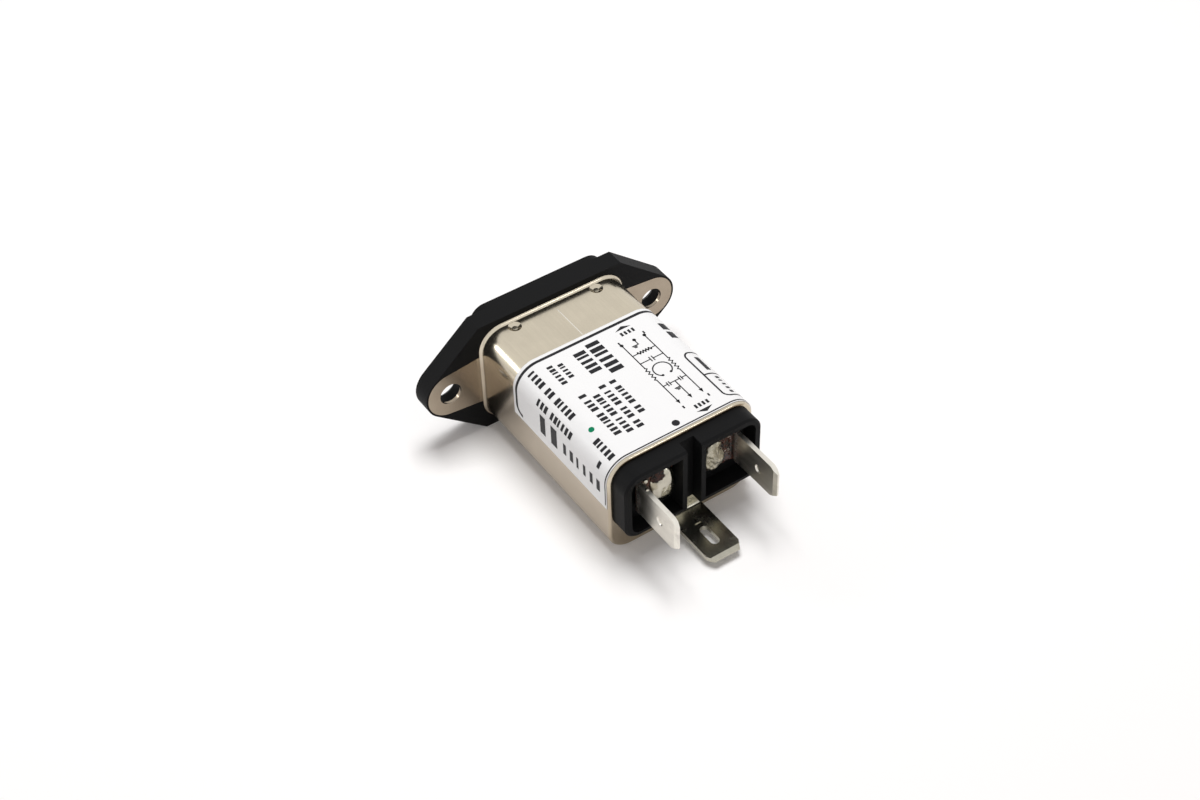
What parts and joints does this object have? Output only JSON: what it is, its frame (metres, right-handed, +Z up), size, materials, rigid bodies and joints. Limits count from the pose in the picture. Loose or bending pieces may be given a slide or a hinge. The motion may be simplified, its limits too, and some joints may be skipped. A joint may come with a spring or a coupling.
{
  "type": "emi line filter",
  "caption": "Mains inlet with a built-in interference filter: an eared panel flange on a drawn metal can, with push-on blade terminals and a ground tab at the rear.",
  "frame": {"origin": "Midway between the centres of the two screw holes, on the rear face of the metal ears, which is the face that meets the panel.", "axes": "+X runs across the flange from the line side to the neutral side, to the right seen from the rear; +Y points out of the mains inlet; +Z points up through the labelled face, away from the ground tab."},
  "size_m": [0.0492, 0.0539, 0.0222],
  "materials": {
    "plated_steel": "satin nickel plate",
    "black_moulding": "matte",
    "plated_pin": "bright nickel plate",
    "tinned_terminal": "tin plate",
    "solder": "glossy",
    "label_film": "satin",
    "liner_film": "matte",
    "ferrite": "matte",
    "enamelled_copper": "clear enamel",
    "spacer_plastic": "matte",
    "box_capacitor": "semi-gloss",
    "disc_capacitor": "satin lacquer",
    "resistor_body": "satin lacquer"
  },
  "bodies": {
    "root": {"can": "plated_steel", "inlet_housing": "black_moulding", "line_pin": "plated_pin", "neutral_pin": "plated_pin", "earth_pin": "plated_pin", "rear_insulator": "black_moulding", "line_terminal": "tinned_terminal", "neutral_terminal": "tinned_terminal", "ground_terminal": "tinned_terminal", "line_solder": "solder", "neutral_solder": "solder", "label": "label_film", "can_liner": "liner_film", "choke_core": "ferrite", "line_winding": "enamelled_copper", "neutral_winding": "enamelled_copper", "winding_spacer": "spacer_plastic", "line_lead": "enamelled_copper", "neutral_lead": "enamelled_copper", "line_post": "enamelled_copper", "neutral_post": "enamelled_copper", "earth_strap": "tinned_terminal", "x_capacitor": "box_capacitor", "line_y_capacitor": "disc_capacitor", "neutral_y_capacitor": "disc_capacitor", "bleed_resistor": "resistor_body"}
  },
  "joints": []
}
